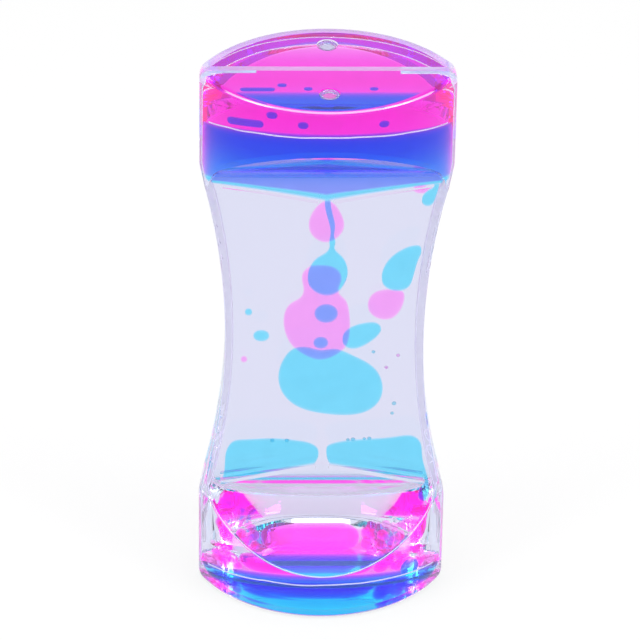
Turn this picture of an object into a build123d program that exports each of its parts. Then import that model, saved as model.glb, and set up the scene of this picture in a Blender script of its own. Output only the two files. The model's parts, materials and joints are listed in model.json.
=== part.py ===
from build123d import *
import os

os.makedirs("parts", exist_ok=True)

# Case. All sizes are in millimetres. It stands on Z = 0 and its front faces -Y.
height = 140.0
end_width = 59.0
end_depth = 40.0
waist_width = 46.8
slab_depth = 10.0
side_height = 24.0
shoulder_height = 12.0
shoulder_rise = 0.88
wall = 1.8
divider_thickness = 1.8
seam_edge_depth = 3.6

# Rounded corners and edges of the moulding
outer_corner_radius = 2.6
inner_corner_radius = 3.4
kink_radius = 7.0
blend_radius = 12.0
end_edge_radius = 1.2
slab_edge_radius = 0.9

# V shelves moulded across each flat chamber, measured from the end above or below
shelf_depth = 33.0
shelf_slope = 0.20
shelf_thickness = 1.0
shelf_vent = 2.2
shelf_root_depth = 0.6
shelf_tip_radius = 0.35
drip_slot_width = 3.0

# Filling holes and their stepped plugs
plug_offset = 11.5
plug_head_diameter = 4.8
plug_head_height = 0.8
plug_shank_diameter = 3.2
plug_recess = 0.15
plug_fit_gap = 0.05
plug_chamfer = 0.25

# Liquids: room above them, depth at the bottom, the films left at walls and round drops
film = 0.1
drop_film = 0.13
oil_gap = 0.12
blue_headroom = 12.8
pink_headroom = 8.4
blue_base_depth = 2.6
pink_base_depth = 0.9
drop_edge_radius = 0.85
bead_edge_radius = 0.65
pool_edge_radius = 0.5
thread_edge_radius = 0.35

# Round and oval drops: side and rise of the centre from mid-height, width, height
small_drop_upper = (0.35, 6.05, 5.5, 5.0)
small_drop_lower = (-0.8, -2.1, 3.5, 3.1)
bead_high = (-17.9, 6.45, 1.7, 1.7)
bead_low = (-14.85, -0.15, 3.8, 3.0)
rear_bead = (-18.85, -8.35, 1.5, 1.5)

# Outlines of the other free drops, taken round each one from mid-height
dripping_thread = [
    (-0.4, 36.9),
    (0.2, 32.8),
    (0.85, 30.2),
    (1.0, 27.2),
    (0.8, 25.7),
    (0.9, 24.4),
    (0.3, 22.9),
    (-1.8, 21.3),
    (-3.5, 18.9),
    (-4.1, 16.1),
    (-3.5, 13.6),
    (-1.7, 11.8),
    (0.5, 11.2),
    (2.8, 12.0),
    (4.5, 14.5),
    (5.2, 17.3),
    (4.7, 20.0),
    (3.6, 21.8),
    (2.4, 23.1),
    (2.0, 24.4),
    (2.2, 25.7),
    (1.9, 27.2),
    (2.05, 29.7),
    (1.55, 32.8),
    (0.9, 36.9),
]
large_drop = [
    (-6.9, -3.7),
    (-3.6, -3.5),
    (-0.8, -4.2),
    (2.7, -3.9),
    (4.8, -4.6),
    (7.6, -6.1),
    (10.4, -7.8),
    (12.7, -10.2),
    (13.9, -13.2),
    (14.0, -16.2),
    (12.6, -19.5),
    (9.8, -21.6),
    (5.7, -22.4),
    (0.9, -22.1),
    (-3.3, -21.2),
    (-7.2, -19.2),
    (-9.7, -16.1),
    (-10.7, -12.5),
    (-10.4, -9.1),
    (-9.1, -5.9),
]
leaf_drop = [
    (4.3, -1.2),
    (5.0, 1.0),
    (7.0, 2.5),
    (10.1, 3.4),
    (12.4, 3.2),
    (13.3, 2.1),
    (13.0, 0.7),
    (11.3, -1.3),
    (8.9, -3.0),
    (6.8, -3.6),
    (5.2, -3.1),
]
side_drop = [
    (22.3, 23.6),
    (21.9, 24.5),
    (20.6, 24.6),
    (18.2, 23.7),
    (15.6, 21.7),
    (13.8, 18.9),
    (13.2, 16.1),
    (13.7, 14.1),
    (15.5, 12.7),
    (17.5, 12.5),
    (19.5, 13.5),
    (20.4, 15.7),
    (21.0, 18.5),
    (21.8, 21.5),
]
rear_top_drop = [
    (1.0, 35.0),
    (-0.6, 35.0),
    (-2.2, 33.6),
    (-3.5, 31.3),
    (-4.0, 28.9),
    (-3.4, 26.4),
    (-1.8, 24.7),
    (0.0, 24.1),
    (1.9, 24.7),
    (3.6, 26.4),
    (4.3, 28.8),
    (3.7, 31.3),
    (2.5, 33.6),
]
rear_large_drop = [
    (-4.5, 16.6),
    (-5.4, 13.7),
    (-5.0, 10.7),
    (-5.7, 8.8),
    (-7.8, 7.3),
    (-9.2, 5.1),
    (-9.6, 1.9),
    (-8.9, -1.7),
    (-7.3, -4.7),
    (-4.9, -6.8),
    (-0.9, -8.4),
    (2.8, -7.1),
    (5.0, -5.0),
    (6.0, -1.7),
    (6.1, 2.4),
    (5.7, 5.9),
    (4.8, 8.3),
    (3.5, 9.8),
    (3.2, 11.2),
    (3.9, 13.7),
    (3.5, 15.7),
    (2.3, 17.0),
    (-0.4, 17.7),
    (-3.0, 17.5),
]
rear_side_drop = [
    (18.8, 9.2),
    (18.2, 10.6),
    (16.6, 11.1),
    (14.2, 11.0),
    (11.8, 10.2),
    (10.5, 8.5),
    (10.2, 6.4),
    (11.2, 4.2),
    (13.2, 3.0),
    (15.4, 3.0),
    (17.4, 4.6),
    (18.4, 6.8),
]

# Liquid at the outer end of the upper shelf, taken from that end
corner_drop = (-2.4, -3.08, 3.6, 2.6)
trickle = [
    (1.6, 0.02),
    (1.2, -2.38),
    (0.6, -4.58),
    (0.0, -5.88),
    (-1.0, -6.28),
    (-2.0, -5.78),
    (-2.3, -4.58),
    (-1.7, -3.08),
    (-0.8, -2.08),
    (0.3, -1.08),
    (0.4, 0.02),
]

# Pools on the lower shelf: points taken from its V, and from its outer ends
left_pool_end = [
    (0.49, 0.28),
    (1.09, 4.88),
    (1.79, 9.08),
    (2.99, 10.68),
]
left_pool_tip = [
    (-18.6, 6.4),
    (-11.8, 6.7),
    (-5.9, 6.1),
    (-2.6, 5.2),
    (-1.15, 3.9),
    (-1.1, 1.4),
    (-1.9, -0.2),
]
right_pool_tip = [
    (1.9, -0.2),
    (1.2, 1.4),
    (0.95, 3.2),
    (1.2, 4.5),
    (2.3, 5.2),
    (4.0, 5.7),
    (10.4, 6.5),
    (17.5, 7.2),
]
right_pool_overflow = [
    (-2.39, 12.08),
    (-1.09, 10.68),
    (-0.49, 7.08),
    (0.51, 2.48),
    (1.21, -0.62),
    (1.41, -3.62),
    (0.91, -5.82),
    (0.11, -6.62),
    (-0.79, -6.12),
    (-1.09, -4.62),
    (-0.59, -2.82),
    (0.21, -1.42),
    (0.26, 0.38),
]

# Beads left on the divider: side, rise above the blue level, width, height
clinging_beads = [
    (-16.2, 1.8, 8.0, 1.9),
    (-10.6, 4.4, 2.2, 1.8),
    (-4.6, 2.2, 2.0, 1.8),
    (10.5, 2.3, 2.0, 1.7),
]
clinging_bead_depth = 0.9
clinging_bead_radius = 0.5

# Liquid that has reached the bottom and has not merged yet
base_drop_inset = 8.1
base_drop_offset = 6.0
base_drop_radius = 2.4
base_blob_side = -2.5
base_blob_offset = 6.1
base_blob_length = 23.8
base_blob_depth = 9.6
base_blob_height = 2.2
base_blob_corner = 4.5
base_blob_edge = 1.0
puddle_length = 60.0
puddle_depth = 23.0

# Bubbles beyond the left and right ends of the blob: reach from that end, y, radius
left_bubbles = [
    (1.5, 2.7, 1.1),
    (4.2, 3.9, 1.4),
    (1.8, 6.2, 1.4),
    (4.8, 7.4, 1.2),
    (2.2, 9.4, 1.1),
]
right_bubbles = [
    (1.8, 2.9, 1.5),
    (5.0, 3.1, 1.3),
    (7.7, 2.9, 1.0),
    (2.2, 6.5, 1.7),
    (5.7, 6.3, 1.4),
    (3.2, 9.9, 1.3),
    (8.4, 5.4, 0.9),
    (10.2, 3.4, 0.9),
]

# Derived positions
middle = height / 2
half_divider = divider_thickness / 2
chamber_front = slab_depth / 2 - wall
chamber_mid = (chamber_front + half_divider) / 2
drop_thickness = chamber_front - half_divider - 2 * drop_film
widest_drop_edge = 0.45 * drop_thickness
blue_level = height - blue_headroom
pink_level = height - pink_headroom
blue_base_level = wall + blue_base_depth
pink_base_level = wall + pink_base_depth
base_drop_side = end_width / 2 - wall - base_drop_inset
end_arc_rise = (end_depth - seam_edge_depth) / 2
end_arc_radius = ((end_width / 2) ** 2 + end_arc_rise**2) / (2 * end_arc_rise)
end_arc_offset = end_arc_radius - end_depth / 2
profile_reach = end_depth / 2 + wall
blob_left_end = base_blob_side - base_blob_length / 2
blob_right_end = base_blob_side + base_blob_length / 2

# The side walls curve in to the waist on one arc, which sets where the shelves end
side_sag = (end_width - waist_width) / 2
side_half_chord = middle - side_height
side_radius = (side_half_chord**2 + side_sag**2) / (2 * side_sag)
shelf_apex_height = height - shelf_depth
lower_apex_height = shelf_depth + shelf_thickness
shelf_end_rise = shelf_slope * end_width
shelf_span = shelf_apex_height + shelf_slope * waist_width / 2 - middle
side_bulge = side_radius - (side_radius**2 - shelf_span**2) ** 0.5
shelf_half_length = waist_width / 2 - wall + side_bulge - shelf_vent
shelf_end_height = shelf_apex_height + shelf_slope * shelf_half_length

# The drops stretch with the height between the shelves: the thread starts at the upper V
drop_stretch = (shelf_apex_height - film - middle) / dripping_thread[0][1]
lower_end_height = lower_apex_height - shelf_slope * shelf_half_length
mid_anchor = (0.0, middle)
upper_vent = (shelf_half_length, shelf_end_height)
lower_tip = (0.0, lower_apex_height)
lower_left_vent = (-shelf_half_length, lower_end_height)
lower_right_vent = (shelf_half_length, lower_end_height)
front_mid_plane = Plane.XZ.offset(chamber_mid)
rear_mid_plane = Plane.XZ.offset(-chamber_mid)
front_face_plane = Plane.XZ.offset(half_divider)


# One of the two cylinders whose overlap is the lens-shaped plan of the ends
def end_cylinder(inset, edge_radius, centre):
    with BuildPart() as cylinder:
        with BuildSketch(Plane.XY.offset(inset)):
            with Locations((0, centre)):
                Circle(end_arc_radius - inset)
        extrude(amount=height - 2 * inset)
        if edge_radius > 0:
            fillet(cylinder.edges().filter_by(GeomType.CIRCLE), edge_radius)
    return cylinder.part


# Hourglass outline, dumbbell side profile and lens-shaped plan, each inset by a wall
def case_block(inset, corner_radius, edge_radius):
    half_end = end_width / 2 - inset
    half_waist = waist_width / 2 - inset
    half_slab = slab_depth / 2 - inset
    inset_drop = inset * (1 + shoulder_rise**2) ** 0.5
    slope_foot = shoulder_height - wall * shoulder_rise - inset_drop
    slope_high = shoulder_height + (end_depth / 2 - half_slab) * shoulder_rise - inset_drop
    with BuildPart() as block:
        with BuildSketch(Plane.XZ) as outline:
            with BuildLine():
                Polyline(
                    (-half_end, side_height),
                    (-half_end, inset),
                    (half_end, inset),
                    (half_end, side_height),
                )
                ThreePointArc(
                    (half_end, side_height),
                    (half_waist, height / 2),
                    (half_end, height - side_height),
                )
                Polyline(
                    (half_end, height - side_height),
                    (half_end, height - inset),
                    (-half_end, height - inset),
                    (-half_end, height - side_height),
                )
                ThreePointArc(
                    (-half_end, height - side_height),
                    (-half_waist, height / 2),
                    (-half_end, side_height),
                )
            make_face()
            corners = outline.vertices()
            kinks = corners.filter_by_position(Axis.Y, side_height - 1, height - side_height + 1)
            fillet(kinks, kink_radius)
            corners = outline.vertices()
            low = corners.filter_by_position(Axis.Y, inset - 0.1, inset + 0.1)
            high = corners.filter_by_position(Axis.Y, height - inset - 0.1, height - inset + 0.1)
            fillet(low + high, corner_radius)
        extrude(amount=end_depth, both=True)
        with BuildSketch(Plane.YZ) as side:
            with BuildLine():
                Polyline(
                    (profile_reach, inset),
                    (profile_reach, slope_foot),
                    (half_slab, slope_high),
                    (half_slab, height - slope_high),
                    (profile_reach, height - slope_foot),
                    (profile_reach, height - inset),
                    (-profile_reach, height - inset),
                    (-profile_reach, height - slope_foot),
                    (-half_slab, height - slope_high),
                    (-half_slab, slope_high),
                    (-profile_reach, slope_foot),
                    (-profile_reach, inset),
                    close=True,
                )
            make_face()
            necks = side.vertices().filter_by_position(Axis.X, -half_slab - 0.1, half_slab + 0.1)
            fillet(necks, blend_radius + inset)
        extrude(amount=end_width, both=True, mode=Mode.INTERSECT)
        if edge_radius > 0:
            sides = block.edges().filter_by_position(Axis.Z, height / 3, 2 * height / 3)
            front = sides.group_by(Axis.Y)[0]
            rear = sides.group_by(Axis.Y)[-1]
            fillet(front + rear, slab_edge_radius)
        for centre in (end_arc_offset, -end_arc_offset):
            add(end_cylinder(inset, edge_radius, centre), mode=Mode.INTERSECT)
    return block.part


# The four shelf ribs of one chamber, with a gap all round where the liquid keeps off them
def shelf_ribs(gap, depth):
    inner = drip_slot_width / 2 - gap
    outer = shelf_half_length + gap
    top_inner = shelf_apex_height + shelf_slope * inner + gap
    top_outer = shelf_apex_height + shelf_slope * outer + gap
    thick = shelf_thickness + 2 * gap
    with BuildPart() as ribs:
        with BuildSketch(front_face_plane) as shelf:
            with BuildLine():
                Polyline(
                    (inner, top_inner),
                    (outer, top_outer),
                    (outer, top_outer - thick),
                    (inner, top_inner - thick),
                    close=True,
                )
            make_face()
            fillet(shelf.vertices(), shelf_tip_radius + gap)
            mirror(about=Plane.YZ)
            mirror(about=Plane.XZ.offset(-height / 2))
        extrude(amount=depth)
    return ribs.part


# Points of an outline in place: those of free drops stretch with the room between the shelves
def set_out(points, anchor, stretch=1.0):
    return [(anchor[0] + side, anchor[1] + rise * stretch) for side, rise in points]


def free_drop(points):
    return set_out(points, mid_anchor, drop_stretch)


def free_oval(oval):
    return (oval[0], middle + oval[1] * drop_stretch, *oval[2:])


# The same points, each moved outwards by a gap
def widened(points, gap):
    count = len(points)
    area = sum(
        points[i - 1][0] * points[i][1] - points[i][0] * points[i - 1][1] for i in range(count)
    )
    turn = gap if area > 0 else -gap
    moved = []
    for i in range(count):
        along = Vector(*points[(i + 1) % count]) - Vector(*points[i - 1])
        out = Vector(along.Y, -along.X).normalized() * turn
        moved.append((points[i][0] + out.X, points[i][1] + out.Y))
    return moved


def closed_outline(points, gap):
    with BuildSketch() as shape:
        with BuildLine():
            Spline(*widened(points, gap), periodic=True)
        make_face()
    return shape.sketch


def open_outline(points, gap):
    spots = widened(points, gap)
    with BuildSketch() as shape:
        with BuildLine():
            Spline(*spots)
            Line(spots[-1], spots[0])
        make_face()
    return shape.sketch


def oval_outline(oval, gap):
    with BuildSketch() as shape:
        with Locations((oval[0], oval[1])):
            Ellipse(oval[2] / 2 + gap, oval[3] / 2 + gap)
    return shape.sketch


# A drop squeezed flat between divider and shell, cut off where a wall is in its way
def flat_drop(name, outline, plane, fill, edge_radius):
    with BuildPart() as drop:
        with BuildSketch(plane):
            add(outline)
        extrude(amount=drop_thickness / 2, both=True)
        rims = drop.faces().filter_by(Axis.Y).edges().filter_by(GeomType.LINE, reverse=True)
        fillet(rims, min(edge_radius, widest_drop_edge))
        add(fill, mode=Mode.INTERSECT)
    drop.part.label = name
    export_step(drop.part, f"parts/{name}.step")


# The room that a flat drop takes up in the oil
def drop_room(outline, plane):
    with BuildPart() as room:
        with BuildSketch(plane):
            add(outline)
        extrude(amount=drop_thickness / 2 + drop_film, both=True)
    return room.part


outer_block = case_block(0.0, outer_corner_radius, end_edge_radius)
cavity_block = case_block(wall, inner_corner_radius, 0.0)
liquid_block = case_block(wall + film, inner_corner_radius - film, 0.0)
front_ribs = shelf_ribs(0.0, chamber_front - half_divider + shelf_root_depth)
kept_clear_ribs = shelf_ribs(film, chamber_front)

with BuildPart() as front_shell:
    add(outer_block)
    split(bisect_by=front_face_plane, keep=Keep.TOP)
    add(cavity_block, mode=Mode.SUBTRACT)
    add(front_ribs)
    with Locations((0, -plug_offset, height)):
        CounterBoreHole(
            radius=plug_shank_diameter / 2 + plug_fit_gap,
            counter_bore_radius=plug_head_diameter / 2 + plug_fit_gap,
            counter_bore_depth=plug_head_height + plug_recess,
            depth=2 * wall,
        )
front_shell.part.label = "front_shell"
export_step(front_shell.part, "parts/front_shell.step")

with BuildPart() as rear_shell:
    add(front_shell.part.rotate(Axis.Z, 180))
rear_shell.part.label = "rear_shell"
export_step(rear_shell.part, "parts/rear_shell.step")

with BuildPart() as divider_plate:
    add(outer_block)
    split(bisect_by=front_face_plane, keep=Keep.BOTTOM)
    split(bisect_by=Plane.XZ.offset(-half_divider), keep=Keep.TOP)
divider_plate.part.label = "divider_plate"
export_step(divider_plate.part, "parts/divider_plate.step")

with BuildPart() as front_fill_plug:
    with BuildSketch(Plane.XY.offset(height - plug_recess)):
        with Locations((0, -plug_offset)):
            Circle(plug_head_diameter / 2)
    extrude(amount=-plug_head_height)
    chamfer(front_fill_plug.edges().group_by(Axis.Z)[-1], plug_chamfer)
    with BuildSketch(Plane.XY.offset(height - plug_recess - plug_head_height)):
        with Locations((0, -plug_offset)):
            Circle(plug_shank_diameter / 2)
    extrude(amount=-(wall - plug_recess - plug_head_height))
front_fill_plug.part.label = "front_fill_plug"
export_step(front_fill_plug.part, "parts/front_fill_plug.step")

with BuildPart() as rear_fill_plug:
    add(front_fill_plug.part.rotate(Axis.Z, 180))
rear_fill_plug.part.label = "rear_fill_plug"
export_step(rear_fill_plug.part, "parts/rear_fill_plug.step")

# Room for liquid in the front chamber, clear of walls and shelves
with BuildPart() as front_room:
    add(liquid_block)
    split(bisect_by=Plane.XZ.offset(half_divider + film), keep=Keep.TOP)
    add(kept_clear_ribs, mode=Mode.SUBTRACT)
front_fill = front_room.part
rear_fill = front_fill.rotate(Axis.Z, 180)


# Liquid lying on the upper V shelf up to a level, with a clearance at the shelf
def shelf_load(level, clearance):
    with BuildPart() as load:
        with BuildSketch(Plane.XZ):
            with BuildLine():
                Polyline(
                    (-end_width, shelf_apex_height + shelf_end_rise + clearance),
                    (0, shelf_apex_height + clearance),
                    (end_width, shelf_apex_height + shelf_end_rise + clearance),
                    (end_width, level),
                    (-end_width, level),
                    close=True,
                )
            make_face()
        extrude(amount=end_depth, both=True)
    return load.part


blue_load = shelf_load(blue_level, film)
blue_load_room = shelf_load(blue_level + film, -film / 2)
pink_load = shelf_load(pink_level, film)
pink_load_room = shelf_load(pink_level + film, -film / 2)

with BuildPart() as blue_upper_pool:
    add(front_fill)
    add(blue_load, mode=Mode.INTERSECT)
blue_upper_pool.part.label = "blue_upper_pool"
export_step(blue_upper_pool.part, "parts/blue_upper_pool.step")

with BuildPart() as pink_upper_pool:
    add(rear_fill)
    add(pink_load, mode=Mode.INTERSECT)
pink_upper_pool.part.label = "pink_upper_pool"
export_step(pink_upper_pool.part, "parts/pink_upper_pool.step")

with BuildPart() as blue_base_pool:
    add(front_fill)
    split(bisect_by=Plane.XY.offset(blue_base_level), keep=Keep.BOTTOM)
blue_base_pool.part.label = "blue_base_pool"
export_step(blue_base_pool.part, "parts/blue_base_pool.step")

# The pink puddle at the bottom, which does not reach the rear wall, with a gap round it
def puddle(level, gap):
    with BuildPart() as pool:
        with BuildSketch():
            Ellipse(puddle_length / 2 + gap, puddle_depth / 2 + gap)
        extrude(amount=level)
    return pool.part


with BuildPart() as pink_base_pool:
    add(rear_fill)
    add(puddle(pink_base_level, 0.0), mode=Mode.INTERSECT)
pink_base_pool.part.label = "pink_base_pool"
export_step(pink_base_pool.part, "parts/pink_base_pool.step")

# Points and ovals in place
left_pool = set_out(left_pool_end, lower_left_vent) + set_out(left_pool_tip, lower_tip)
right_pool = set_out(right_pool_tip, lower_tip) + set_out(right_pool_overflow, lower_right_vent)
corner_trickle = set_out(trickle, upper_vent)
corner_oval = (upper_vent[0] + corner_drop[0], upper_vent[1] + corner_drop[1], *corner_drop[2:])

# Flat drops: name, kind of outline, shape, edge radius
front_drops = [
    ("blue_dripping_drop", open_outline, free_drop(dripping_thread), thread_edge_radius),
    ("blue_small_drop_upper", oval_outline, free_oval(small_drop_upper), drop_edge_radius),
    ("blue_small_drop_lower", oval_outline, free_oval(small_drop_lower), drop_edge_radius),
    ("blue_leaf_drop", closed_outline, free_drop(leaf_drop), pool_edge_radius),
    ("blue_large_drop", closed_outline, free_drop(large_drop), drop_edge_radius),
    ("blue_side_drop", closed_outline, free_drop(side_drop), pool_edge_radius),
    ("blue_bead_high", oval_outline, free_oval(bead_high), bead_edge_radius),
    ("blue_bead_low", oval_outline, free_oval(bead_low), drop_edge_radius),
    ("blue_corner_trickle", open_outline, corner_trickle, thread_edge_radius),
    ("blue_shelf_pool_left", open_outline, left_pool, pool_edge_radius),
    ("blue_shelf_pool_right", open_outline, right_pool, thread_edge_radius),
]
rear_drops = [
    ("pink_top_drop", closed_outline, free_drop(rear_top_drop), drop_edge_radius),
    ("pink_large_drop", closed_outline, free_drop(rear_large_drop), drop_edge_radius),
    ("pink_side_drop", closed_outline, free_drop(rear_side_drop), drop_edge_radius),
    ("pink_bead", oval_outline, free_oval(rear_bead), bead_edge_radius),
    ("pink_corner_drop", oval_outline, corner_oval, drop_edge_radius),
]
for name, outline, shape, edge_radius in front_drops:
    flat_drop(name, outline(shape, 0.0), front_mid_plane, front_fill, edge_radius)
for name, outline, shape, edge_radius in rear_drops:
    flat_drop(name, outline(shape, 0.0), rear_mid_plane, rear_fill, edge_radius)
front_rooms = [
    drop_room(outline(shape, oil_gap), front_mid_plane)
    for name, outline, shape, edge_radius in front_drops
]
rear_rooms = [
    drop_room(outline(shape, oil_gap), rear_mid_plane)
    for name, outline, shape, edge_radius in rear_drops
]

# Beads on the divider, and drops lying at the bottom
with BuildPart() as blue_clinging_beads:
    with BuildSketch(Plane.XZ.offset(half_divider + film)):
        for bead in clinging_beads:
            with Locations((bead[0], blue_level + bead[1])):
                SlotOverall(bead[2], bead[3])
    extrude(amount=clinging_bead_depth)
    fillet(blue_clinging_beads.faces().group_by(Axis.Y)[0].edges(), clinging_bead_radius)
blue_clinging_beads.part.label = "blue_clinging_beads"
export_step(blue_clinging_beads.part, "parts/blue_clinging_beads.step")

with BuildPart() as blue_base_drop:
    with Locations((base_drop_side, -base_drop_offset, blue_base_level + film + base_drop_radius)):
        Sphere(base_drop_radius)
blue_base_drop.part.label = "blue_base_drop"
export_step(blue_base_drop.part, "parts/blue_base_drop.step")

with BuildPart() as pink_base_blob:
    with BuildSketch(Plane.XY.offset(pink_base_level + film)):
        with Locations((base_blob_side, base_blob_offset)):
            RectangleRounded(base_blob_length, base_blob_depth, base_blob_corner)
    extrude(amount=base_blob_height)
    fillet(pink_base_blob.edges().group_by(Axis.Z)[0], base_blob_edge)
    fillet(pink_base_blob.edges().group_by(Axis.Z)[-1], base_blob_edge)
pink_base_blob.part.label = "pink_base_blob"
export_step(pink_base_blob.part, "parts/pink_base_blob.step")

bubbles = [(blob_left_end - reach, back, radius) for reach, back, radius in left_bubbles]
bubbles += [(blob_right_end + reach, back, radius) for reach, back, radius in right_bubbles]
with BuildPart() as pink_base_bubbles:
    for side, back, radius in bubbles:
        with Locations((side, back, pink_base_level + film + radius)):
            Sphere(radius)
pink_base_bubbles.part.label = "pink_base_bubbles"
export_step(pink_base_bubbles.part, "parts/pink_base_bubbles.step")

# Clear oil: what is left of each chamber round the coloured liquid
with BuildPart() as front_clear_oil:
    add(front_fill)
    split(bisect_by=Plane.XY.offset(blue_base_level + film), keep=Keep.TOP)
    add(blue_load_room, mode=Mode.SUBTRACT)
    for room in front_rooms:
        add(room, mode=Mode.SUBTRACT)
    with BuildSketch(Plane.XZ.offset(half_divider)):
        for bead in clinging_beads:
            with Locations((bead[0], blue_level + bead[1])):
                SlotOverall(bead[2] + 2 * oil_gap, bead[3] + 2 * oil_gap)
    extrude(amount=clinging_bead_depth + 2 * film, mode=Mode.SUBTRACT)
    with Locations((base_drop_side, -base_drop_offset, blue_base_level + film + base_drop_radius)):
        Sphere(base_drop_radius + oil_gap, mode=Mode.SUBTRACT)
front_clear_oil.part.label = "front_clear_oil"
export_step(front_clear_oil.part, "parts/front_clear_oil.step")

with BuildPart() as rear_clear_oil:
    add(rear_fill)
    add(puddle(pink_base_level + film, oil_gap), mode=Mode.SUBTRACT)
    add(pink_load_room, mode=Mode.SUBTRACT)
    for room in rear_rooms:
        add(room, mode=Mode.SUBTRACT)
    with BuildSketch(Plane.XY.offset(pink_base_level)):
        with Locations((base_blob_side, base_blob_offset)):
            RectangleRounded(
                base_blob_length + 2 * oil_gap,
                base_blob_depth + 2 * oil_gap,
                base_blob_corner + oil_gap,
            )
    extrude(amount=base_blob_height + film + oil_gap, mode=Mode.SUBTRACT)
    for side, back, radius in bubbles:
        with Locations((side, back, pink_base_level + film + radius)):
            Sphere(radius + oil_gap, mode=Mode.SUBTRACT)
rear_clear_oil.part.label = "rear_clear_oil"
export_step(rear_clear_oil.part, "parts/rear_clear_oil.step")
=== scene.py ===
import bpy
import bmesh
import json
import math
from mathutils import Matrix, Vector
from mathutils.bvhtree import BVHTree


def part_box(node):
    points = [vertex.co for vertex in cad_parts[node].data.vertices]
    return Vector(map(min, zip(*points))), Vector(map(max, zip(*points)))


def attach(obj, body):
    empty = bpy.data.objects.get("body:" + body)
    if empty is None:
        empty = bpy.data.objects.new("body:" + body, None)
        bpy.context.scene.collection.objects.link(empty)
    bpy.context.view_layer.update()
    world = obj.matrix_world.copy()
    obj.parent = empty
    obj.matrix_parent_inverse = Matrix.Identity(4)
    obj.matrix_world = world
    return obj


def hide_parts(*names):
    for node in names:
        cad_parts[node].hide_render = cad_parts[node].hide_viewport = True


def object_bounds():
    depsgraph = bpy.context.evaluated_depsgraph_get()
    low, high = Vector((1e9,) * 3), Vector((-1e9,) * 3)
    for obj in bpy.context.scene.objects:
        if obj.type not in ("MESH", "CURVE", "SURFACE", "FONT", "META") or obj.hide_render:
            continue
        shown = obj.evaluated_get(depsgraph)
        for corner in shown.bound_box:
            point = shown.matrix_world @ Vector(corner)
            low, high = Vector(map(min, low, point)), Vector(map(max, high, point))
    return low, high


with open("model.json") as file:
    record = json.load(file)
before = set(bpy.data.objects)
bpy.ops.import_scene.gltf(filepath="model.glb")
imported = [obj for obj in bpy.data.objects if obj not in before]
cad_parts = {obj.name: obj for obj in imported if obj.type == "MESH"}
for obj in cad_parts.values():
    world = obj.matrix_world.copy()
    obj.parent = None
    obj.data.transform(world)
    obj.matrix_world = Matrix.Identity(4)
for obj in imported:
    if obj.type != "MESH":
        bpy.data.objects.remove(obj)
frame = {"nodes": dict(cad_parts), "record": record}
cadLow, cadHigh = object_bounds()
print("frame loaded:", len(frame["nodes"]), "nodes")

bounces = {"all": 32, "through": 32, "mirrored": 16}  # light crosses many clear walls
scene = bpy.context.scene
scene.view_settings.view_transform = "Standard"
scene.cycles.max_bounces = bounces["all"]
scene.cycles.transmission_bounces = bounces["through"]
scene.cycles.glossy_bounces = bounces["mirrored"]


# Studio: white sweep, soft lamps, camera at the photo's angle

studio = {
    "floorHalf": 3.0,
    "floorGlow": 0.76,
    "floorColour": (0.20, 0.20, 0.20, 1.0),
    "floorDrop": 0.0002,
    "floorUnderLight": (0.8, 0.8, 0.8, 1.0),
    "roomColour": (1.0, 1.0, 1.0, 1.0),
    "roomSeen": 1.0,
    "roomFill": 0.75,
}


def lightPathSeen(tree):
    path = tree.nodes.new("ShaderNodeLightPath")
    nearer = tree.nodes.new("ShaderNodeMath")
    nearer.operation = "MAXIMUM"
    tree.links.new(path.outputs["Is Camera Ray"], nearer.inputs[0])
    tree.links.new(path.outputs["Is Glossy Ray"], nearer.inputs[1])
    seen = tree.nodes.new("ShaderNodeMath")
    seen.operation = "MAXIMUM"
    tree.links.new(nearer.outputs[0], seen.inputs[0])
    tree.links.new(path.outputs["Is Transmission Ray"], seen.inputs[1])
    return seen.outputs[0]


# One shader lights the object, the other is what the eye sees
def splitByPath(tree, fill, seen, out):
    mix = tree.nodes.new("ShaderNodeMixShader")
    tree.links.new(lightPathSeen(tree), mix.inputs["Fac"])
    tree.links.new(fill.outputs[0], mix.inputs[1])
    tree.links.new(seen.outputs[0], mix.inputs[2])
    tree.links.new(mix.outputs[0], out.inputs["Surface"])


def roomGlow(tree, settings, strength):
    glow = tree.nodes.new("ShaderNodeBackground")
    glow.inputs["Color"].default_value = settings["roomColour"]
    glow.inputs["Strength"].default_value = strength
    return glow


def makeRoom(settings):
    world = bpy.data.worlds.new("whiteRoom")
    world.use_nodes = True
    tree = world.node_tree
    tree.nodes.clear()
    out = tree.nodes.new("ShaderNodeOutputWorld")
    seen = roomGlow(tree, settings, settings["roomSeen"])
    fill = roomGlow(tree, settings, settings["roomFill"])
    splitByPath(tree, fill, seen, out)
    scene.world = world


def makeFloor(settings):
    half = settings["floorHalf"]
    level = -settings["floorDrop"]
    mesh = bpy.data.meshes.new("studioFloor")
    corners = [(-half, -half, level), (half, -half, level), (half, half, level), (-half, half, level)]
    mesh.from_pydata(corners, [], [(0, 1, 2, 3)])
    floor = bpy.data.objects.new("studioFloor", mesh)
    scene.collection.objects.link(floor)
    paint = bpy.data.materials.new("whiteSweep")
    paint.use_nodes = True
    tree = paint.node_tree
    tree.nodes.clear()
    out = tree.nodes.new("ShaderNodeOutputMaterial")
    glow = tree.nodes.new("ShaderNodeEmission")
    glow.inputs["Strength"].default_value = settings["floorGlow"]
    lit = tree.nodes.new("ShaderNodeBsdfDiffuse")
    lit.inputs["Color"].default_value = settings["floorColour"]
    seen = tree.nodes.new("ShaderNodeAddShader")
    tree.links.new(glow.outputs[0], seen.inputs[0])
    tree.links.new(lit.outputs[0], seen.inputs[1])
    fill = tree.nodes.new("ShaderNodeBsdfDiffuse")
    fill.inputs["Color"].default_value = settings["floorUnderLight"]
    splitByPath(tree, fill, seen, out)
    mesh.materials.append(paint)


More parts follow.
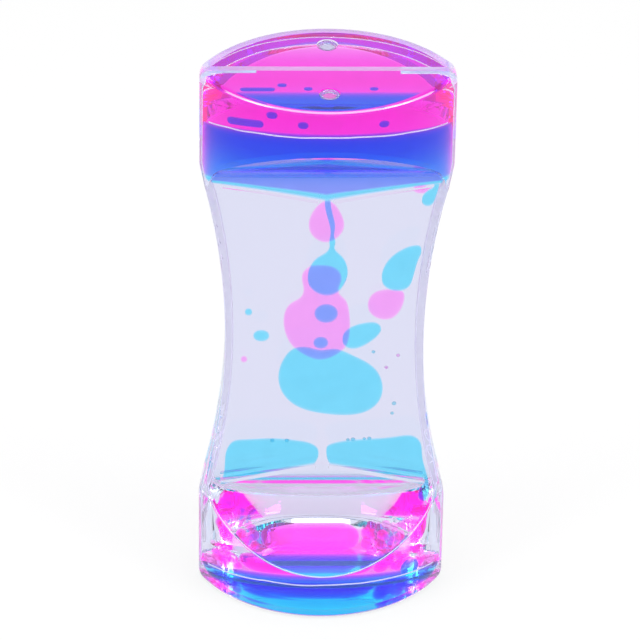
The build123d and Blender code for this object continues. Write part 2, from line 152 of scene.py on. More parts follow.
lampAim = (0.0, 0.0, 0.07)
lampPlan = [  # name, place, size, power in watts
    ("overheadSoftbox", (0.0, -0.15, 0.9), 0.9, 3.0),
    ("leftSoftbox", (-0.8, -0.5, 0.6), 0.4, 4.0),
    ("rightSoftbox", (0.8, -0.5, 0.6), 0.4, 4.0),
]


def makeLamps(plan):
    for name, place, size, power in plan:
        data = bpy.data.lights.new(name, "AREA")
        data.shape = "SQUARE"
        data.size = size
        data.energy = power
        lamp = bpy.data.objects.new(name, data)
        lamp.location = place
        lamp.rotation_euler = (Vector(lampAim) - Vector(place)).to_track_quat("-Z", "Y").to_euler()
        scene.collection.objects.link(lamp)


shot = {
    "elevation": 32.15,
    "yaw": -1.77,
    "roll": 0.99,
    "distance": 1.130,
    "target": (0.0, 0.0, 0.070),
    "focalPixels": 4783.0,
    "framePixels": 640.0,
    "targetPixel": (324.0, 328.0),
    "sensor": 36.0,
    "clip": (0.05, 20.0),
}


def makeCamera(settings):
    elevation = math.radians(settings["elevation"])
    yaw = math.radians(settings["yaw"])
    roll = math.radians(settings["roll"])
    level = math.cos(elevation)
    back = Vector((math.sin(yaw) * level, -math.cos(yaw) * level, math.sin(elevation)))
    right = Vector((0, 0, 1)).cross(back).normalized()
    up = back.cross(right)
    rolledRight = right * math.cos(roll) + up * math.sin(roll)
    rolledUp = up * math.cos(roll) - right * math.sin(roll)
    target = Vector(settings["target"])
    spot = target + back * settings["distance"]
    perPixel = settings["distance"] / settings["focalPixels"]
    middle = settings["framePixels"] / 2
    acrossPixels = settings["targetPixel"][0] - middle
    downPixels = settings["targetPixel"][1] - middle
    aim = target - rolledRight * acrossPixels * perPixel + rolledUp * downPixels * perPixel
    ahead = (aim - spot).normalized()
    side = ahead.cross(rolledUp).normalized()
    over = side.cross(ahead)
    data = bpy.data.cameras.new("photoCamera")
    data.sensor_width = settings["sensor"]
    data.lens = settings["focalPixels"] / settings["framePixels"] * settings["sensor"]
    data.clip_start, data.clip_end = settings["clip"]
    camera = bpy.data.objects.new("photoCamera", data)
    camera.rotation_mode = "QUATERNION"
    turn = Matrix((side, over, -ahead)).transposed()
    camera.rotation_quaternion = turn.to_quaternion()
    camera.location = spot
    scene.collection.objects.link(camera)
    scene.camera = camera


makeRoom(studio)
makeFloor(studio)
makeLamps(lampPlan)
makeCamera(shot)
print("studio ready")


# Finishes: shared noise first, then clear plastic, hazy plastic (some with a painted glow, highlight or
# sheen) and dyed liquid with a painted glow

white = (1.0, 1.0, 1.0, 1.0)
unstretched = (1.0, 1.0, 1.0)
mottle = {"detail": 3.0, "from": 0.3, "to": 0.7}


def newMaterial(name):
    material = bpy.data.materials.new(name)
    material.use_nodes = True
    return material, material.node_tree, material.node_tree.nodes["Principled BSDF"]


def objectNoise(tree, scale, stretch=unstretched):
    place = tree.nodes.new("ShaderNodeTexCoord")
    mapping = tree.nodes.new("ShaderNodeMapping")
    mapping.inputs["Scale"].default_value = stretch
    noise = tree.nodes.new("ShaderNodeTexNoise")
    noise.inputs["Scale"].default_value = scale
    noise.inputs["Detail"].default_value = mottle["detail"]
    tree.links.new(place.outputs["Object"], mapping.inputs["Vector"])
    tree.links.new(mapping.outputs["Vector"], noise.inputs["Vector"])
    return noise.outputs["Fac"]


def valueBetween(tree, fac, low, high):
    ramp = tree.nodes.new("ShaderNodeMapRange")
    ramp.inputs["To Min"].default_value = low
    ramp.inputs["To Max"].default_value = high
    tree.links.new(fac, ramp.inputs["Value"])
    return ramp.outputs["Result"]


def colourBetween(tree, fac, low, high):
    ramp = tree.nodes.new("ShaderNodeValToRGB")
    ramp.color_ramp.elements[0].color = low
    ramp.color_ramp.elements[1].color = high
    ramp.color_ramp.elements[0].position = mottle["from"]
    ramp.color_ramp.elements[1].position = mottle["to"]
    tree.links.new(fac, ramp.inputs["Fac"])
    return ramp.outputs["Color"]


clearCase = {
    "colour": (0.715, 0.725, 0.90, 1.0),
    "ior": 1.49,
    "rippleScale": (30.0, 30.0, 260.0),  # flow lines of the moulding, along the width
    "rippleStrength": 0.04,
    "rippleHeight": 0.0002,
    "roughness": (0.0, 0.02),
}


def mouldedMaterial(name, settings):
    material, tree, shader = newMaterial(name)
    shader.inputs["Base Color"].default_value = settings["colour"]
    shader.inputs["IOR"].default_value = settings["ior"]
    shader.inputs["Transmission Weight"].default_value = 1.0
    flow = objectNoise(tree, 1.0, settings["rippleScale"])
    tree.links.new(valueBetween(tree, flow, *settings["roughness"]), shader.inputs["Roughness"])
    ripple = tree.nodes.new("ShaderNodeBump")
    ripple.inputs["Strength"].default_value = settings["rippleStrength"]
    ripple.inputs["Distance"].default_value = settings["rippleHeight"]
    tree.links.new(flow, ripple.inputs["Height"])
    tree.links.new(ripple.outputs["Normal"], shader.inputs["Normal"])
    return material


wettedCase = {"colour": white, "ior": 1.045}  # plastic against oil, which bends light very little


def wettedMaterial(name, settings):
    material, _, shader = newMaterial(name)
    shader.inputs["Base Color"].default_value = settings["colour"]
    shader.inputs["Roughness"].default_value = 0.0
    shader.inputs["IOR"].default_value = settings["ior"]
    shader.inputs["Transmission Weight"].default_value = 1.0
    return material


# glow: colour of the painted glow that some hazy finishes are given
haze = {"scale": 900.0, "glow": (0.90, 0.85, 1.0, 1.0)}


def hazyMaterial(name, settings):
    material, tree, shader = newMaterial(name)
    shader.inputs["Transmission Weight"].default_value = settings["through"]
    shader.inputs["Coat Weight"].default_value = settings.get("coat", 0.0)
    shader.inputs["Emission Color"].default_value = haze["glow"]
    shader.inputs["Emission Strength"].default_value = settings.get("glow", 0.0)
    material.cycles.emission_sampling = "NONE"
    cloud = objectNoise(tree, haze["scale"])
    tree.links.new(colourBetween(tree, cloud, *settings["colours"]), shader.inputs["Base Color"])
    tree.links.new(valueBetween(tree, cloud, *settings["roughness"]), shader.inputs["Roughness"])
    return material


seamEdge = {
    "colours": ((0.50, 0.43, 0.66, 1.0), (0.60, 0.53, 0.76, 1.0)),
    "roughness": (0.25, 0.45),
    "through": 0.45,
}
# Bond line: whitish glue, with a painted glow added
bondLine = {
    "colours": ((0.95, 0.93, 0.99, 1.0), white),
    "roughness": (0.05, 0.15),
    "through": 0.65,
    "glow": 0.10,
}
# Bond at the top corners: pale, with a stronger painted glow standing in for a highlight
bondCorner = {
    "colours": ((0.93, 0.84, 0.96, 1.0), (1.0, 0.94, 1.0, 1.0)),
    "roughness": (0.10, 0.20),
    "through": 0.25,
    "glow": 0.35,
}
# Painted highlight: a pale hazy arc along the front shell's rounded top and bottom edges, where the
# lamps' reflection falls
edgeHighlightPaint = {
    "colours": ((0.80, 0.76, 0.97, 1.0), (0.92, 0.88, 0.99, 1.0)),
    "roughness": (0.15, 0.30),
    "through": 0.60,
    "coat": 1.0,
}
# Painted sheen: hazy lavender on the rear shell's rounded top rim and on a band of its top along the
# outline
rearRimSheenPaint = {
    "colours": ((0.58, 0.50, 0.86, 1.0), (0.70, 0.62, 0.92, 1.0)),
    "roughness": (0.15, 0.30),
    "through": 0.55,
    "coat": 1.0,
}
plugEnd = {
    "colours": ((0.80, 0.76, 0.97, 1.0), (0.92, 0.88, 0.99, 1.0)),
    "roughness": (0.10, 0.25),
    "through": 0.75,
}
# Painted highlight: white tubes with a painted glow, for the bright lines along glue, creases and pool
# edges
lineHighlightPaint = {
    "colours": ((0.93, 0.88, 0.99, 1.0), white),
    "roughness": (0.10, 0.20),
    "through": 0.50,
    "glow": 0.20,
}
caseOuter = mouldedMaterial("clearCaseOuter", clearCase)
caseInner = wettedMaterial("clearCaseWetted", wettedCase)
caseSeam = hazyMaterial("clearCaseSeam", seamEdge)
caseBond = hazyMaterial("clearCaseBond", bondLine)
caseEdgeHighlight = hazyMaterial("clearCaseEdgeHighlight", edgeHighlightPaint)
caseCorner = hazyMaterial("clearCaseBondCorner", bondCorner)
caseRearRimSheen = hazyMaterial("clearCaseRearRimSheen", rearRimSheenPaint)
casePlug = hazyMaterial("clearCasePlug", plugEnd)
caseLineHighlight = hazyMaterial("clearWallHighlightLine", lineHighlightPaint)

liquid = {"ior": 1.01, "swirlScale": 250.0, "pale": (0.94, 0.95, 0.96, 1.0)}


# Dyed liquid: absorbs through its depth, and a painted glow brightens it at the surface
def liquidMaterial(name, settings):
    material, tree, shader = newMaterial(name)
    swirl = objectNoise(tree, liquid["swirlScale"])
    tree.links.new(colourBetween(tree, swirl, liquid["pale"], white), shader.inputs["Base Color"])
    shader.inputs["Roughness"].default_value = 0.0
    shader.inputs["IOR"].default_value = liquid["ior"]
    shader.inputs["Transmission Weight"].default_value = 1.0
    shader.inputs["Emission Color"].default_value = settings["glow"]
    shader.inputs["Emission Strength"].default_value = 1.0
    material.cycles.emission_sampling = "NONE"
    dye = tree.nodes.new("ShaderNodeVolumeAbsorption")
    dye.inputs["Color"].default_value = settings["tint"]
    dye.inputs["Density"].default_value = settings["density"]
    tree.links.new(dye.outputs[0], tree.nodes["Material Output"].inputs["Volume"])
    return material


# glow: a painted glow in each liquid's colour, added to brighten it
blueDropDye = {"tint": (0.27, 0.955, 1.0, 1.0), "density": 900.0, "glow": (0.0, 0.012, 0.035, 1.0)}
bluePoolDye = {"tint": (0.27, 0.955, 1.0, 1.0), "density": 900.0, "glow": (0.0, 0.006, 0.035, 1.0)}
blueBeadDye = {"tint": (0.27, 0.90, 1.0, 1.0), "density": 2600.0, "glow": (0.0, 0.006, 0.035, 1.0)}
pinkDropDye = {"tint": (1.0, 0.45, 0.97, 1.0), "density": 600.0, "glow": (0.10, 0.0, 0.04, 1.0)}
pinkPoolDye = {"tint": (1.0, 0.43, 0.965, 1.0), "density": 650.0, "glow": (0.15, 0.0, 0.03, 1.0)}
pinkBlobDye = {"tint": (1.0, 0.42, 0.97, 1.0), "density": 1100.0, "glow": (0.12, 0.0, 0.05, 1.0)}
blueDrop = liquidMaterial("blueDropLiquid", blueDropDye)
bluePool = liquidMaterial("bluePoolLiquid", bluePoolDye)
blueBead = liquidMaterial("blueBeadLiquid", blueBeadDye)
pinkDrop = liquidMaterial("pinkDropLiquid", pinkDropDye)
pinkPool = liquidMaterial("pinkPoolLiquid", pinkPoolDye)
pinkBlob = liquidMaterial("pinkBlobLiquid", pinkBlobDye)
print("finishes ready")


# Moulded clear pieces and liquids, welded and smoothed from the frame's own nodes

weld = {"distance": 2e-6, "flatArea": 1e-16, "sharpAngle": math.radians(32.0)}


def weldedMesh(nodeName):
    shape = bmesh.new()
    shape.from_mesh(frame["nodes"][nodeName].data)
    bmesh.ops.remove_doubles(shape, verts=shape.verts, dist=weld["distance"])
    flat = [face for face in shape.faces if face.calc_area() < weld["flatArea"]]
    bmesh.ops.delete(shape, geom=flat, context="FACES_ONLY")
    return shape


# The object's mesh becomes what its modifiers make of it
def settleModifiers(piece):
    drawn = piece.data
    evaluated = piece.evaluated_get(bpy.context.evaluated_depsgraph_get())
    finished = bpy.data.meshes.new_from_object(evaluated)
    piece.modifiers.clear()
    piece.data = finished
    bpy.data.meshes.remove(drawn)
    finished.name = piece.name


def finishedObject(pieceName, shape, materials):
    for face in shape.faces:
        face.smooth = True
    for edge in shape.edges:
        edge.smooth = len(edge.link_faces) == 2 and edge.calc_face_angle(0.0) < weld["sharpAngle"]
    mesh = bpy.data.meshes.new(pieceName)
    shape.to_mesh(mesh)
    shape.free()
    for material in materials:
        mesh.materials.append(material)
    piece = bpy.data.objects.new(pieceName, mesh)
    scene.collection.objects.link(piece)
    weighting = piece.modifiers.new("evenNormals", "WEIGHTED_NORMAL")
    weighting.keep_sharp = True
    settleModifiers(piece)
    return piece


caseNodes = ["front_shell", "rear_shell", "divider_plate"]
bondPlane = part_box("divider_plate")[1].y  # distance of both bonded faces from the middle


def caseWalls():
    points = []
    faces = []
    for name in caseNodes:
        mesh = frame["nodes"][name].data
        start = len(points)
        points += [vert.co.copy() for vert in mesh.vertices]
        faces += [[start + i for i in face.vertices] for face in mesh.polygons]
    return BVHTree.FromPolygons(points, faces)


glueLine = {"gap": 2.5e-5, "onFace": 2e-6, "plugHead": 4e-4}


def isOnBond(vert):
    return abs(abs(vert.co.y) - bondPlane) < glueLine["onFace"]


# Bonded faces stand off the divider by a glue line, and plug heads off their seats
def openGlueLine(name, shape):
    if name.endswith("_shell"):
        for vert in shape.verts:
            if isOnBond(vert):
                vert.co.y += math.copysign(glueLine["gap"], vert.co.y)
    if name.endswith("_plug"):
        low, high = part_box(name)
        for vert in shape.verts:
            if low.z + glueLine["onFace"] < vert.co.z < high.z - glueLine["plugHead"]:
                vert.co.z += glueLine["gap"]


# Faces of the case, sorted by finish

# The corner slot carries the bond's stronger painted glow at the top corners
slots = {"outer": 0, "wetted": 1, "bond": 2, "edge": 3, "corner": 4}  # corner: bond at the top corners
probe = {"lift": 1e-5, "reach": 0.2}
bondHaze = {
    "foot": 0.006,  # clear below, where the base pools lie on the bond
    "topDepth": 0.003,
    "topClear": 0.0165,  # clear between the top corners
    "facing": 0.99,
}
# Where the painted edge highlight and the painted rear rim sheen go
rim = {
    "reach": 0.0013,
    "tilt": (0.50, 0.75),
    "arcReach": 0.0235,  # the front edge shows between its corners
    "rearBand": 0.0027,
    # topBand: width of the painted sheen band on the rear top
    "topBand": 0.0028,  # pale band on the rear top, from its outline
    "seamHalf": 0.0018,  # half the depth of the case's pointed sides
    "cuts": 41,
    "flat": 0.999,
}
bandFoot = cadHigh.z - rim["rearBand"]
arcRise = cadHigh.y - rim["seamHalf"]
arcRadius = (cadHigh.x**2 + arcRise**2) / (2 * arcRise)


# Straight cuts side by side along the rear top rim, as (point, outward) pairs
def topBandCuts():
    axis = Vector((0.0, cadHigh.y - arcRadius, cadHigh.z))
    widest = math.asin(cadHigh.x / arcRadius)
    cuts = []
    for step in range(rim["cuts"]):
        turn = widest * (2 * step / (rim["cuts"] - 1) - 1)
        outward = Vector((math.sin(turn), math.cos(turn), 0.0))
        cuts.append((axis + outward * (arcRadius - rim["topBand"]), outward))
    return cuts


def inTopBand(spot, cuts):
    return any((spot - place).dot(outward) > 0 for place, outward in cuts)


def isBonded(face):
    return all(isOnBond(vert) for vert in face.verts)


def isTop(face):
    return face.normal.z > rim["flat"] and face.calc_center_median().z > cadHigh.z - probe["lift"]


def cutFaces(shape, faces, place, outward):
    around = dict.fromkeys(part for face in faces for part in (*face.verts, *face.edges))
    bmesh.ops.bisect_plane(shape, geom=faces + list(around), plane_co=place, plane_no=outward)


# New edges where a finish ends inside a face
def cutShell(name, shape, bandCuts):
    if name == "rear_shell":
        cutFaces(shape, shape.faces[:], (0.0, 0.0, bandFoot), (0.0, 0.0, 1.0))
        for place, outward in bandCuts:
            cutFaces(shape, [face for face in shape.faces if isTop(face)], place, outward)
    for across in (-bondHaze["topClear"], bondHaze["topClear"]):
        flange = [face for face in shape.faces if isBonded(face)]
        cutFaces(shape, flange, (across, 0.0, 0.0), (1.0, 0.0, 0.0))


# The edge slot holds the painted highlight on the front shell's rounded end edges and the painted sheen
# on the rear top rim
def skinSlot(name, face, walls, bandCuts):
    spot = face.calc_center_median()
    if walls.ray_cast(spot + face.normal * probe["lift"], face.normal, probe["reach"])[0] is not None:
        return slots["wetted"]
    rear = name == "rear_shell"
    nearEnd = min(spot.z, cadHigh.z - spot.z) < rim["reach"] and abs(spot.x) < rim["arcReach"]
    rounded = nearEnd and rim["tilt"][0] < abs(face.normal.z) < rim["tilt"][1]
    rearRounded = rear and spot.z > bandFoot and face.normal.z < rim["flat"]
    rearBand = rear and isTop(face) and inTopBand(spot, bandCuts)
    return slots["edge"] if rounded or rearRounded or rearBand else slots["outer"]


def markBond(shape):
    skin = {vert for face in shape.faces if face.material_index == slots["outer"] for vert in face.verts}
    for face in shape.faces:
        spot = face.calc_center_median()
        atTop = spot.z > cadHigh.z - bondHaze["topDepth"]
        midTop = atTop and abs(spot.x) < bondHaze["topClear"]
        hazy = isBonded(face) and spot.z > bondHaze["foot"] and not midTop
        if hazy and any(vert in skin for vert in face.verts):
            face.material_index = slots["corner"] if atTop else slots["bond"]


def sortFaces(name, shape, walls):
    shell = name.endswith("_shell")
    bandCuts = topBandCuts()
    if shell:
        cutShell(name, shape, bandCuts)
    for face in shape.faces:
        face.material_index = skinSlot(name, face, walls, bandCuts)
    if shell:
        markBond(shape)


caseSlots = {
    "front_shell": [caseOuter, caseInner, caseBond, caseEdgeHighlight, caseCorner],
    "rear_shell": [caseOuter, caseInner, caseBond, caseRearRimSheen, caseCorner],
    "divider_plate": [caseSeam, caseInner, caseBond, caseSeam],
    "front_fill_plug": [caseOuter, casePlug, caseBond, casePlug],
    "rear_fill_plug": [caseOuter, casePlug, caseBond, casePlug],
}
insideOil = {"front_shell": ["front_clear_oil"], "rear_shell": ["rear_clear_oil"]}


def edgeLines(shape, wanted):
    lines = []
    for edge in shape.edges:
        if len(edge.link_faces) == 2 and wanted(*edge.link_faces):
            lines.append([vert.co.copy() for vert in edge.verts])
    return lines


def isBondRim(one, two):
    turned = (abs(one.normal.y) > bondHaze["facing"]) != (abs(two.normal.y) > bondHaze["facing"])
    kinds = {one.material_index, two.material_index}
    return turned and kinds in ({slots["wetted"], slots["bond"]}, {slots["wetted"], slots["corner"]})


def isCrease(one, two):
    outside = one.material_index == slots["outer"] and two.material_index == slots["outer"]
    return outside and one.normal.angle(two.normal, 0.0) > weld["sharpAngle"]


def makeCase():
    walls = caseWalls()
    bondEdges = {}
    creases = {}
    for name, finishes in caseSlots.items():
        shape = weldedMesh(name)
        sortFaces(name, shape, walls)
        bondEdges[name] = edgeLines(shape, isBondRim)
        creases[name] = edgeLines(shape, isCrease)
        openGlueLine(name, shape)
        piece = finishedObject(name + "Clear", shape, finishes)
        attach(piece, "casing")
        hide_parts(name, *insideOil.get(name, []))
    return bondEdges, creases


# Liquids: drops ride on their own bodies, pools on the case

liquidFinish = {  # all others have the drop's dye of their colour
    "blue_upper_pool": bluePool,
    "blue_base_pool": bluePool,
    "blue_clinging_beads": blueBead,
    "pink_upper_pool": pinkPool,
    "pink_base_pool": pinkBlob,
    "pink_base_blob": pinkBlob,
    "pink_base_bubbles": pinkBlob,
}
dropFinish = {"blue": blueDrop, "pink": pinkDrop}


def colourOf(nodeName):
    return nodeName.split("_")[0]


def makeLiquids():
    for body, nodes in frame["record"]["behaviour"]["bodies"].items():
        for name in nodes:
            colour = colourOf(name)
            if colour not in dropFinish:
                continue
            finish = liquidFinish.get(name, dropFinish[colour])
            piece = finishedObject(name + "Liquid", weldedMesh(name), [finish])
            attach(piece, body)
            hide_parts(name)


# Geometry Nodes: what the trees below share
def newTree(name, source, floats, integers, result):
    tree = bpy.data.node_groups.new(name, "GeometryNodeTree")
    tree.interface.new_socket(source, in_out="INPUT", socket_type="NodeSocketGeometry")
    for title in floats:
        tree.interface.new_socket(title, in_out="INPUT", socket_type="NodeSocketFloat")
    for title in integers:
        tree.interface.new_socket(title, in_out="INPUT", socket_type="NodeSocketInt")
    tree.interface.new_socket("Finish", in_out="INPUT", socket_type="NodeSocketMaterial")
    tree.interface.new_socket(result, in_out="OUTPUT", socket_type="NodeSocketGeometry")
    return tree, tree.nodes.new("NodeGroupInput")


def joinSockets(tree, pairs):
    for output, socket in pairs:
        tree.links.new(output, socket)


def endTree(tree, given, made, result):
    smooth = tree.nodes.new("GeometryNodeSetShadeSmooth")
    real = tree.nodes.new("GeometryNodeRealizeInstances")
    paint = tree.nodes.new("GeometryNodeSetMaterial")
    out = tree.nodes.new("NodeGroupOutput")
    joinSockets(tree, [
        (made, real.inputs["Geometry"]),
        (real.outputs["Geometry"], smooth.inputs["Geometry"]),
        (smooth.outputs["Geometry"], paint.inputs["Geometry"]),
        (given.outputs["Finish"], paint.inputs["Material"]),
        (paint.outputs["Geometry"], out.inputs[result]),
    ])


def nodesResult(pieceName, mesh, tree, values):
    piece = bpy.data.objects.new(pieceName, mesh)
    scene.collection.objects.link(piece)
    maker = piece.modifiers.new(tree.name, "NODES")
    maker.node_group = tree
    for item in tree.interface.items_tree:
        if item.in_out == "INPUT" and item.name in values:
            maker[item.identifier] = values[item.name]
    bpy.context.view_layer.update()
    settleModifiers(piece)
    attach(piece, "casing")
    print(pieceName, len(piece.data.polygons), "faces")


# Painted highlight lines along the walls, white with a painted glow: on the squeezed-out glue, along the
# shoulders' creases and along the curved edge of a pool

wallLine = {"spacing": 0.0006, "sides": 8, "noiseMiddle": 0.5}
# A whitish glue bead along the bond rim, drawn with the painted highlight finish of a glint
glueBeadAndGlint = {"radius": 0.00016, "waviness": 0.0, "waveSize": 0.004}
# A painted highlight line along each shoulder crease
shoulderHighlight = {
    "radius": 0.00013,
    "waviness": 0.0,
    "waveSize": 0.004,
    "inset": 0.00025,
    "heights": (0.006, 0.045),
}
# The painted highlight line along a pool's meniscus
poolEdgeHighlight = {
    "radius": 0.00018,
    "waviness": 0.0014,
    "waveSize": 0.016,
    "keepBeyond": 0.003,
    "flatTop": 0.98,
    "sameLevel": 1e-5,
}
poolClimb = {  # rise of the film for its distance from the divider
    "blue_upper_pool": 0.29,
    "blue_base_pool": 0.25,
    "pink_upper_pool": 0.0,
}


def wallLineTree():
    floats = ("Spacing", "Radius", "Waviness", "Wave Density")
    tree, given = newTree("wallLine", "Path", floats, ("Sides",), "Line")
    joined = tree.nodes.new("GeometryNodeMergeByDistance")
    joined.inputs["Distance"].default_value = weld["distance"]
    path = tree.nodes.new("GeometryNodeMeshToCurve")
    curved = tree.nodes.new("GeometryNodeCurveSplineType")
    curved.spline_type = "CATMULL_ROM"
    fine = tree.nodes.new("GeometryNodeSetSplineResolution")
    even = tree.nodes.new("GeometryNodeResampleCurve")
    even.mode = "LENGTH"
    noise = tree.nodes.new("ShaderNodeTexNoise")
    around = tree.nodes.new("ShaderNodeMath")
    around.operation = "SUBTRACT"
    around.inputs[1].default_value = wallLine["noiseMiddle"]
    lift = tree.nodes.new("ShaderNodeMath")
    lift.operation = "MULTIPLY"
    upward = tree.nodes.new("ShaderNodeCombineXYZ")
    waved = tree.nodes.new("GeometryNodeSetPosition")
    section = tree.nodes.new("GeometryNodeCurvePrimitiveCircle")
    tube = tree.nodes.new("GeometryNodeCurveToMesh")
    tube.inputs["Fill Caps"].default_value = True
    joinSockets(tree, [
        (given.outputs["Path"], joined.inputs["Geometry"]),
        (joined.outputs["Geometry"], path.inputs["Mesh"]),
        (path.outputs["Curve"], curved.inputs["Curve"]),
        (curved.outputs["Curve"], fine.inputs["Geometry"]),
        (fine.outputs["Geometry"], even.inputs["Curve"]),
        (given.outputs["Spacing"], even.inputs["Length"]),
        (given.outputs["Wave Density"], noise.inputs["Scale"]),
        (noise.outputs["Fac"], around.inputs[0]),
        (around.outputs[0], lift.inputs[0]),
        (given.outputs["Waviness"], lift.inputs[1]),
        (lift.outputs[0], upward.inputs["Z"]),
        (even.outputs["Curve"], waved.inputs["Geometry"]),
        (upward.outputs[0], waved.inputs["Offset"]),
        (given.outputs["Sides"], section.inputs["Resolution"]),
        (given.outputs["Radius"], section.inputs["Radius"]),
        (waved.outputs["Geometry"], tube.inputs["Curve"]),
        (section.outputs["Curve"], tube.inputs["Profile Curve"]),
    ])
    endTree(tree, given, tube.outputs["Mesh"], "Line")
    return tree


def makeWallLine(pieceName, lines, settings, tree):
    points = [point for line in lines for point in line]
    mesh = bpy.data.meshes.new(pieceName)
    mesh.from_pydata(points, [(i, i + 1) for i in range(0, len(points), 2)], [])
    values = {
        "Spacing": wallLine["spacing"],
        "Radius": settings["radius"],
        "Waviness": settings["waviness"],
        "Wave Density": 1 / settings["waveSize"],
        "Sides": wallLine["sides"],
        "Finish": caseLineHighlight,
    }
    nodesResult(pieceName, mesh, tree, values)


# Shoulder edges of one shell, where a painted highlight tube runs, moved in a little so that the tube
# stays inside the case
def creaseLines(creases):
    low, high = shoulderHighlight["heights"]
    lines = [line for line in creases if all(low < point.z < high for point in line)]
    for line in lines:
        for point in line:
            point.x -= math.copysign(shoulderHighlight["inset"], point.x)
            point.y -= math.copysign(shoulderHighlight["inset"], point.y)
    return lines


# Outer edge of a pool's flat top, raised where its film climbs the wall
def poolLines(name, climb):
    shape = weldedMesh(name)
    flat = poolEdgeHighlight["flatTop"]
    lines = edgeLines(shape, lambda one, two: (one.normal.z > flat) != (two.normal.z > flat))
    shape.free()
    level = max(point.z for line in lines for point in line) - poolEdgeHighlight["sameLevel"]
    lines = [line for line in lines if min(point.z for point in line) > level]
    lines = [line for line in lines if min(abs(point.y) for point in line) > poolEdgeHighlight["keepBeyond"]]
    return [[point + Vector((0.0, 0.0, climb * abs(point.y))) for point in line] for line in lines]


def makeWallLines(bondEdges, creases):
    tree = wallLineTree()
    for name in ("front_shell", "rear_shell"):
        makeWallLine(name + "GlueBeadAndGlint", bondEdges[name], glueBeadAndGlint, tree)
        shoulders = creaseLines(creases[name])
        makeWallLine(name + "ShoulderHighlight", shoulders, shoulderHighlight, tree)
    for name, climb in poolClimb.items():
        makeWallLine(name + "Edge", poolLines(name, climb), poolEdgeHighlight, tree)


# Specks of each colour left on the divider, as thin films: x, z and width in millimetres

blueSpecks = [
    (11.7, 64.9, 0.9),
    (16.9, 50.4, 1.1),
    (16.5, 47.6, 0.9),
    (-12.0, 39.8, 1.0),
    (-8.5, 39.8, 1.0),
    (6.1, 40.0, 0.9),
    (7.3, 40.1, 1.1),
    (10.0, 40.3, 0.8),
    (11.2, 40.4, 1.0),
]
pinkSpecks = [(14.9, 59.8, 0.9), (17.6, 63.2, 0.9)]
speck = {"film": 0.00008, "rings": 8, "segments": 16}
millimetre = 1 / 1000
blueSpeckFilm = {
    "colours": ((0.40, 0.86, 1.0, 1.0), (0.50, 0.92, 1.0, 1.0)),
    "roughness": (0.05, 0.15),
    "through": 0.9,
}
pinkSpeckFilm = {
    "colours": ((1.0, 0.56, 0.96, 1.0), (1.0, 0.64, 0.98, 1.0)),
    "roughness": (0.05, 0.15),
    "through": 0.9,
}


def speckTree():
    tree, given = newTree("dividerSpecks", "Places", ("Film",), ("Rings", "Segments"), "Specks")
    ball = tree.nodes.new("GeometryNodeMeshUVSphere")
    ball.inputs["Radius"].default_value = 0.5  # one unit wide, then scaled
    width = tree.nodes.new("GeometryNodeInputNamedAttribute")
    width.data_type = "FLOAT"
    width.inputs["Name"].default_value = "speckWidth"
    size = tree.nodes.new("ShaderNodeCombineXYZ")
    placed = tree.nodes.new("GeometryNodeInstanceOnPoints")
    joinSockets(tree, [
        (given.outputs["Segments"], ball.inputs["Segments"]),
        (given.outputs["Rings"], ball.inputs["Rings"]),
        (width.outputs["Attribute"], size.inputs["X"]),
        (given.outputs["Film"], size.inputs["Y"]),
        (width.outputs["Attribute"], size.inputs["Z"]),
        (given.outputs["Places"], placed.inputs["Points"]),
        (ball.outputs["Mesh"], placed.inputs["Instance"]),
        (size.outputs[0], placed.inputs["Scale"]),
    ])
    endTree(tree, given, placed.outputs["Instances"], "Specks")
    return tree


def makeSpecks(pieceName, specks, side, finish, tree):
    face = bondPlane + glueLine["gap"] + speck["film"] / 2
    mesh = bpy.data.meshes.new(pieceName)
    mesh.from_pydata([(x * millimetre, side * face, z * millimetre) for x, z, width in specks], [], [])
    widths = mesh.attributes.new("speckWidth", "FLOAT", "POINT")
    for item, (x, z, width) in zip(widths.data, specks):
        item.value = width * millimetre
    values = {
        "Film": speck["film"],
        "Rings": speck["rings"],
        "Segments": speck["segments"],
        "Finish": finish,
    }
    nodesResult(pieceName, mesh, tree, values)


def makeAllSpecks():
    tree = speckTree()
    blueFilm = hazyMaterial("blueSpeckFilm", blueSpeckFilm)
    pinkFilm = hazyMaterial("pinkSpeckFilm", pinkSpeckFilm)
    makeSpecks("blueDividerSpecks", blueSpecks, -1, blueFilm, tree)
    makeSpecks("pinkDividerSpecks", pinkSpecks, 1, pinkFilm, tree)


# Froth: small drops piled on the pink base pool that have not merged yet

froth = {
    "pool": "pink_base_pool",
    "density": 400000.0,
    "apart": 0.0017,
    "smallest": 0.0008,
    "largest": 0.0013,
    "reach": (0.0035, 0.0085),  # distance from the middle of the divider
    "layers": 3,
    "layerStep": 0.0018,
    "rings": 10,
    "segments": 16,
    "seed": 5,
}
frothAcross = {"pinkFrothLeft": (-0.0205, -0.0155), "pinkFrothRight": (0.0105, 0.0200)}


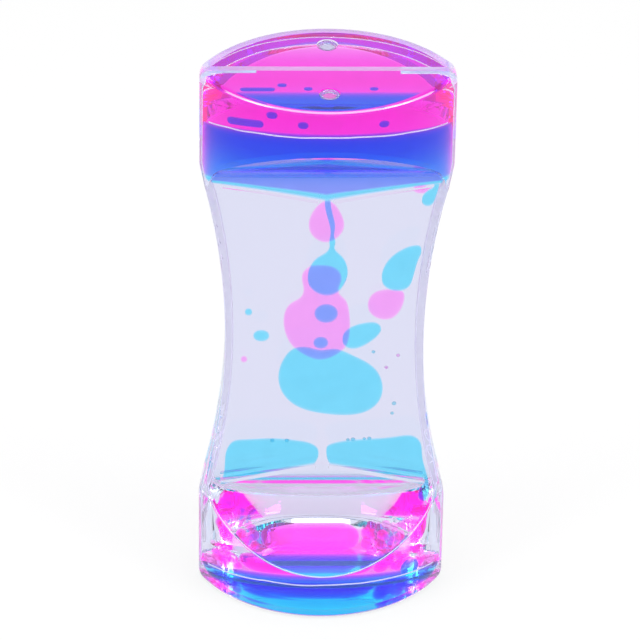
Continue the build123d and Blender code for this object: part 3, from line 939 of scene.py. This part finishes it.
def frothTree():
    floats = ("Density", "Apart", "Smallest", "Largest")
    tree, given = newTree("poolFroth", "Pool Top", floats, ("Seed", "Rings", "Segments"), "Froth")
    spread = tree.nodes.new("GeometryNodeDistributePointsOnFaces")
    spread.distribute_method = "POISSON"
    ball = tree.nodes.new("GeometryNodeMeshUVSphere")
    ball.inputs["Radius"].default_value = 1.0  # scaled to each drop's radius
    size = tree.nodes.new("FunctionNodeRandomValue")
    placed = tree.nodes.new("GeometryNodeInstanceOnPoints")
    sizeRange = [socket for socket in size.inputs if socket.type == "VALUE"]
    sizeDrawn = [socket for socket in size.outputs if socket.type == "VALUE"][0]
    joinSockets(tree, [
        (given.outputs["Pool Top"], spread.inputs["Mesh"]),
        (given.outputs["Density"], spread.inputs["Density Max"]),
        (given.outputs["Apart"], spread.inputs["Distance Min"]),
        (given.outputs["Seed"], spread.inputs["Seed"]),
        (given.outputs["Segments"], ball.inputs["Segments"]),
        (given.outputs["Rings"], ball.inputs["Rings"]),
        (given.outputs["Smallest"], sizeRange[0]),
        (given.outputs["Largest"], sizeRange[1]),
        (given.outputs["Seed"], size.inputs["Seed"]),
        (spread.outputs["Points"], placed.inputs["Points"]),
        (ball.outputs["Mesh"], placed.inputs["Instance"]),
        (sizeDrawn, placed.inputs["Scale"]),
    ])
    endTree(tree, given, placed.outputs["Instances"], "Froth")
    return tree


# Flat patches above each other, on which the froth's drops are spread
def frothLayers(pieceName, left, right):
    low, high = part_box(froth["pool"])
    side = math.copysign(1.0, low.y + high.y)
    near, far = froth["reach"]
    corners = []
    faces = []
    for layer in range(froth["layers"]):
        level = high.z + layer * froth["layerStep"]
        start = len(corners)
        faces.append((start, start + 1, start + 2, start + 3))
        for x, y in ((left, near), (right, near), (right, far), (left, far)):
            corners.append((x, side * y, level))
    mesh = bpy.data.meshes.new(pieceName)
    mesh.from_pydata(corners, [], faces)
    return mesh


def makeFroth():
    tree = frothTree()
    values = {
        "Density": froth["density"],
        "Apart": froth["apart"],
        "Smallest": froth["smallest"],
        "Largest": froth["largest"],
        "Seed": froth["seed"],
        "Rings": froth["rings"],
        "Segments": froth["segments"],
        "Finish": pinkDrop,
    }
    for pieceName, (left, right) in frothAcross.items():
        mesh = frothLayers(pieceName, left, right)
        nodesResult(pieceName, mesh, tree, values)


bondEdges, creases = makeCase()
print("case ready")
makeLiquids()
print("liquids ready")
makeWallLines(bondEdges, creases)
print("wall lines ready")
makeAllSpecks()
print("specks ready")
makeFroth()
print("froth ready")
